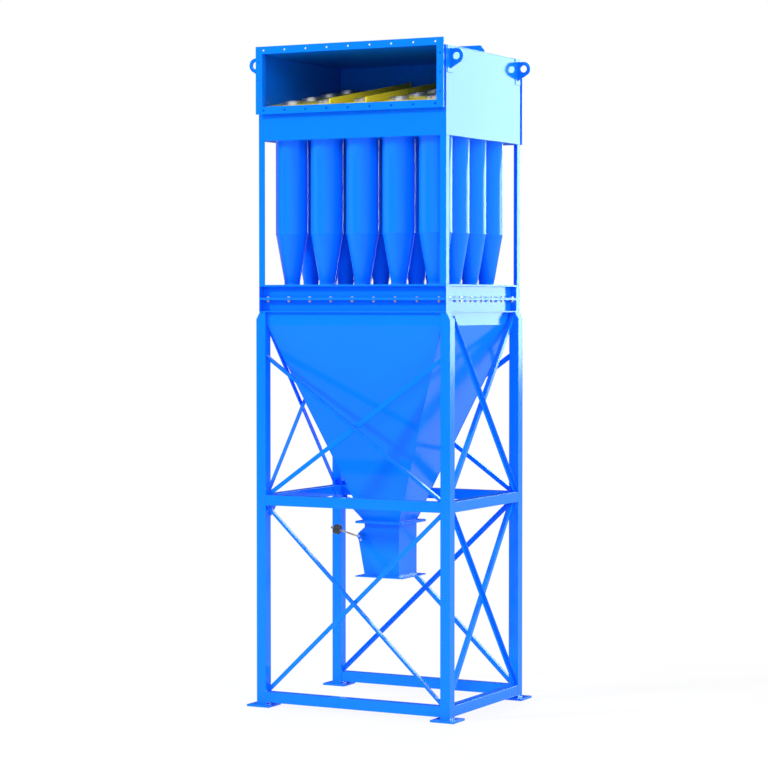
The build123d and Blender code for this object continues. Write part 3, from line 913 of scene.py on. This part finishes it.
@dataclass
class Seams:
    """Painted fillet welds along the joints of plates and tubes, laid as rows of ripples."""

    radius: float = 0.0032
    thin_radius: float = 0.002
    core_radius: float = 0.0004
    pitch: float = 0.008
    lap: float = 0.55
    shoulder_share: float = 0.86
    crest_share: float = 0.3
    flats: int = 8
    ring_steps: int = 48
    hopper_rim: Point = (0.652, 0.54, 2.655)
    hopper_fold: Point = (0.652, 0.54, 2.569)
    hopper_foot: Point = (0.172, 0.165, 1.351)
    chute_left: float = -0.214
    chute_right: float = 0.168
    chute_depth: float = 0.165
    chute_top: float = 1.335
    valve_half: float = 0.131
    valve_seams: tuple[float, ...] = (1.244, 1.228, 0.872)
    post_inner: tuple[float, float] = (0.656, 0.492)
    post_outer: tuple[float, float] = (0.726, 0.562)
    foot_top: float = 0.014
    base_beam: tuple[float, float] = (0.028, 0.098)
    mid_beam: tuple[float, float] = (1.358, 1.428)
    pad_half: float = 0.04
    pad_heights: tuple[float, float] = (4.203, 4.377)
    pad_face: float = 0.7
    pads: tuple[tuple[int, float], ...] = ((-1, -0.525), (1, -0.514), (-1, 0.514), (1, 0.525))
    battery: Battery = field(default_factory=Battery)

    def ripple(self, radius: float) -> bpy.types.Mesh:
        """Pattern of one ripple of a bead, lying along Z."""
        work = Work()
        half, crest = self.pitch * self.lap, self.pitch * self.lap * self.crest_share
        shoulder, core = radius * self.shoulder_share, self.core_radius
        outline = [(core, -half), (shoulder, -half), (radius, crest), (shoulder, half), (core, half)]
        work.spin(outline, self.flats)
        return work.cast("ripple")

    def line(self, work: Work, pattern: bpy.types.Mesh, start: Point, end: Point) -> None:
        """Lays a straight bead.

        Args:
            work: Mesh that takes the bead.
            pattern: One ripple.
            start: Start of the joint.
            end: End of the joint.
        """
        low, run = Vector(start), Vector(end) - Vector(start)
        turn = facing(run)
        count = max(1, round(run.length / self.pitch))
        for step in range(count):
            work.add(pattern, Matrix.Translation(low + run * ((step + 0.5) / count)) @ turn)

    def loop(self, work: Work, pattern: bpy.types.Mesh, corners: Sequence[Point]) -> None:
        """Lays a closed run of straight beads."""
        for start, end in zip(corners, [*corners[1:], corners[0]]):
            self.line(work, pattern, start, end)

    @staticmethod
    def rectangle(left: float, right: float, front: float, back: float, height: float) -> list[Point]:
        """Corners of a level rectangle."""
        return [(left, front, height), (right, front, height), (right, back, height), (left, back, height)]

    @staticmethod
    def finish_seam(name: str, work: Work, finish: Finish = BLUE, slot: Slot = Slot.BLUE) -> None:
        """Turns the beads into a piece."""
        piece(name, work.cast(name), finish, Body.CASING)

    def hopper(self, pattern: bpy.types.Mesh) -> None:
        """Lays the beads on the hopper's corners and round its foot."""
        work = Work()
        for sx, sy in CORNERS:
            rim, fold, foot = (
                (sx * x, sy * y, z) for x, y, z in (self.hopper_rim, self.hopper_fold, self.hopper_foot)
            )
            self.line(work, pattern, rim, fold)
            self.line(work, pattern, fold, foot)
        half_w, half_d, height = self.hopper_foot
        self.loop(work, pattern, self.rectangle(-half_w, half_w, -half_d, half_d, height))
        self.finish_seam("hopper_seams", work)

    def outlet(self, pattern: bpy.types.Mesh) -> None:
        """Lays the beads on the chute and on the valve's flanges."""
        work = Work()
        depth, top, half = self.chute_depth, self.chute_top, self.valve_half
        for x, low_x in ((self.chute_left, -half), (self.chute_right, half)):
            for sy in (-1, 1):
                foot = (low_x, sy * half, self.valve_seams[0])
                self.line(work, pattern, (x, sy * depth, top), foot)
        self.loop(work, pattern, self.rectangle(self.chute_left, self.chute_right, -depth, depth, top))
        for height in self.valve_seams:
            self.loop(work, pattern, self.rectangle(-half, half, -half, half, height))
        self.finish_seam("outlet_seams", work)

    def stand(self, pattern: bpy.types.Mesh) -> None:
        """Lays the beads round the posts' feet and at the ends of the beams."""
        work = Work()
        for sx, sy in CORNERS:
            near_x, far_x = sx * self.post_inner[0], sx * self.post_outer[0]
            near_y, far_y = sy * self.post_inner[1], sy * self.post_outer[1]
            foot = self.rectangle(*sorted((near_x, far_x)), *sorted((near_y, far_y)), self.foot_top)
            self.loop(work, pattern, foot)
            for beam in (self.base_beam, self.mid_beam):
                for z in beam:
                    self.line(work, pattern, (near_x, near_y, z), (near_x, far_y, z))
                    if sx > 0 or beam == self.mid_beam:
                        self.line(work, pattern, (near_x, near_y, z), (far_x, near_y, z))
                bottom, top = beam
                self.line(work, pattern, (near_x, near_y, bottom), (near_x, near_y, top))
        self.finish_seam("stand_seams", work)

    def lugs(self, pattern: bpy.types.Mesh) -> None:
        """Lays the beads round the lugs' pads."""
        work = Work()
        low, high = self.pad_heights
        for sx, y in self.pads:
            x, front, back = sx * self.pad_face, y - self.pad_half, y + self.pad_half
            self.loop(work, pattern, [(x, front, low), (x, back, low), (x, back, high), (x, front, high)])
        self.finish_seam("lug_seams", work)

    def ring(self, x: float, y: float) -> list[Point]:
        """Points round an exhaust tube where it leaves the sloping sheet.

        Args:
            x: Place of the tube's centre along X.
            y: Place of the tube's centre along Y.

        Returns:
            The points, in order.
        """
        points = []
        for step in range(self.ring_steps):
            angle = FULL_TURN * step / self.ring_steps
            depth = y + self.battery.tube_radius * math.sin(angle)
            across = x + self.battery.tube_radius * math.cos(angle)
            points.append((across, depth, self.battery.slope_z(depth)))
        return points

    def tubes(self, pattern: bpy.types.Mesh) -> None:
        """Lays a bead round each exhaust tube on the sloping sheet."""
        work = Work()
        for row in range(self.battery.rows):
            for x, y in self.battery.centres(row):
                self.loop(work, pattern, self.ring(x, y))
        self.finish_seam("tube_seams", work, YELLOW, Slot.YELLOW)

    def build(self) -> None:
        """Builds every seam."""
        broad, thin = self.ripple(self.radius), self.ripple(self.thin_radius)
        for lay in (self.hopper, self.outlet, self.stand):
            lay(broad)
        for lay in (self.lugs, self.tubes):
            lay(thin)


def level_way(turn: float) -> Vector:
    """Level direction, turned in degrees from the back towards the right."""
    return Vector((math.sin(math.radians(turn)), math.cos(math.radians(turn)), 0.0))


@dataclass(frozen=True)
class Lamp:
    """A soft sun lamp that is not mirrored in the gloss.

    Its direction goes from the object to the lamp, and its spread is in degrees.
    """

    name: str
    towards: Point
    level: float
    spread: float

    def build(self) -> None:
        """Builds the lamp."""
        data = bpy.data.lights.new(self.name, "SUN")
        data.energy = self.level
        data.angle = math.radians(self.spread)
        made = hang(self.name, data)
        made.rotation_euler = Vector(self.towards).to_track_quat("Z", "Y").to_euler()
        made.visible_glossy = False


@dataclass(frozen=True)
class Panel:
    """A bright upright panel that only gloss mirrors, turned in degrees from the back towards the right."""

    name: str
    low: float
    high: float
    level: float
    turn: float = 20.0
    reach: float = 30.0
    width: float = 32.0
    colour: Colour = (0.7, 1.0, 1.0)

    def build(self) -> None:
        """Builds the panel as an area lamp."""
        data = bpy.data.lights.new(self.name, "AREA")
        data.shape = "RECTANGLE"
        data.size = self.width
        data.size_y = self.high - self.low
        data.color = self.colour
        data.energy = self.level * math.pi * data.size * data.size_y
        away = level_way(self.turn)
        made = hang(self.name, data)
        made.location = away * self.reach + Vector((0, 0, (self.low + self.high) / 2))
        made.rotation_euler = away.to_track_quat("Z", "Y").to_euler()
        made.visible_camera = False
        made.visible_diffuse = False


@dataclass(frozen=True)
class Card:
    """A dark upright card that only gloss mirrors, turned in degrees from the back towards the right."""

    name: str
    turn: float
    reach: float
    width: float
    height: float
    lift: float = 0.1
    shade: float = 0.01

    def build(self) -> None:
        """Builds the card as a staged plane."""
        away = level_way(self.turn)
        size = Matrix.Diagonal((self.width, self.height, 1.0, 1.0))
        place = Matrix.Translation(away * self.reach + Vector((0, 0, self.height / 2 + self.lift)))
        work = Work()
        bmesh.ops.create_grid(
            work.mesh, x_segments=1, y_segments=1, size=0.5, matrix=place @ facing(away) @ size
        )
        made = hang(self.name, work.cast(self.name))
        material = bpy.data.materials.new(self.name)
        sheet = NodeSheet(material)
        colour = opaque((self.shade, self.shade, self.shade))
        sheet.output(sheet.node("ShaderNodeBsdfDiffuse", {}, {"Color": colour}))
        made.data.materials.append(material)
        for kind in ("camera", "diffuse", "transmission", "shadow"):
            setattr(made, f"visible_{kind}", False)


@dataclass
class Studio:
    """Camera, lamps, floor and background."""

    eye: Point = (7.8086, -14.9188, 2.7177)
    tilt: float = 88.130
    turn: float = 27.784
    lens: float = 116.34
    sensor: float = 36.0
    far: float = 1000.0
    floor_size: float = 400.0
    floor_shade: float = 0.9
    world_level: float = 0.5
    shadow_share: float = 0.12
    fittings: tuple[Union[Lamp, Panel, Card], ...] = (
        Lamp("front_lamp", (-0.8, -0.85, 0.56), level=2.1, spread=8.0),
        Lamp("fill_lamp", (0.55, -0.8, 0.4), level=0.85, spread=30.0),
        Lamp("right_lamp", (1.0, 0.15, 0.35), level=1.5, spread=40.0),
        Lamp("back_lamp", (-0.5, 1.0, 0.5), level=1.2, spread=40.0),
        Panel("low_panel", low=1.5, high=9.0, level=12.0),
        Panel("high_panel", low=9.0, high=26.0, level=8.0),
        Card("back_card", turn=-27.6, reach=30.0, width=40.0, height=9.0),
        Card("front_card", turn=-152.2, reach=16.0, width=8.0, height=12.0),
    )

    def camera(self) -> None:
        """Sets the camera at the photograph's viewpoint."""
        data = bpy.data.cameras.new("camera")
        data.lens = self.lens
        data.sensor_width = self.sensor
        data.clip_end = self.far
        made = hang("camera", data)
        made.location = self.eye
        made.rotation_euler = (math.radians(self.tilt), 0.0, math.radians(self.turn))
        bpy.context.scene.camera = made

    def floor(self) -> None:
        """Lays a white floor that keeps a faint shadow."""
        work = Work()
        bmesh.ops.create_grid(work.mesh, x_segments=1, y_segments=1, size=self.floor_size / 2)
        made = hang("studio_floor", work.cast("studio_floor"))
        material = bpy.data.materials.new("studio_floor_white")
        sheet = NodeSheet(material)
        grey = opaque((self.floor_shade, self.floor_shade, self.floor_shade))
        matt = sheet.node("ShaderNodeBsdfDiffuse", {}, {"Color": grey})
        white = sheet.node("ShaderNodeEmission", {}, {"Color": WHITE, "Strength": 1.0})
        seen = self.seen_directly(sheet) * (1 - self.shadow_share)
        mixed = sheet.node("ShaderNodeMixShader", {}, {0: seen})
        sheet.tree.links.new(matt.outputs[0], mixed.inputs[1])
        sheet.tree.links.new(white.outputs[0], mixed.inputs[2])
        sheet.output(mixed)
        made.data.materials.append(material)

    @staticmethod
    def seen_directly(sheet: NodeSheet) -> Signal:
        """One for rays that the camera, gloss or glass sends, and none for the rest."""
        path = sheet.node("ShaderNodeLightPath", {}, {})
        camera, gloss, clear = (
            Signal(sheet, path.outputs[f"Is {kind} Ray"]) for kind in ("Camera", "Glossy", "Transmission")
        )
        return 1 - (1 - camera) * (1 - gloss) * (1 - clear)

    def background(self) -> None:
        """Sets a white background with a plain ambient light."""
        world = bpy.data.worlds.new("studio_white")
        bpy.context.scene.world = world
        sheet = NodeSheet(world)
        level = self.world_level + self.seen_directly(sheet) * (1 - self.world_level)
        shader = sheet.node("ShaderNodeBackground", {}, {"Color": WHITE, "Strength": level})
        sheet.output(shader, "ShaderNodeOutputWorld")

    def build(self) -> None:
        """Sets up the whole studio."""
        bpy.context.scene.view_settings.view_transform = "Standard"
        self.camera()
        self.floor()
        self.background()
        for fitting in self.fittings:
            fitting.build()


def main() -> None:
    """Builds every sub-assembly and the studio."""
    logging.basicConfig(level=logging.INFO, format="%(name)s %(message)s")
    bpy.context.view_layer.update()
    for assembly in (Casing(), Battery(), SkirtJoint(), FlapGear(), Seams(), Studio()):
        assembly.build()


if __name__ == "__main__":
    main()
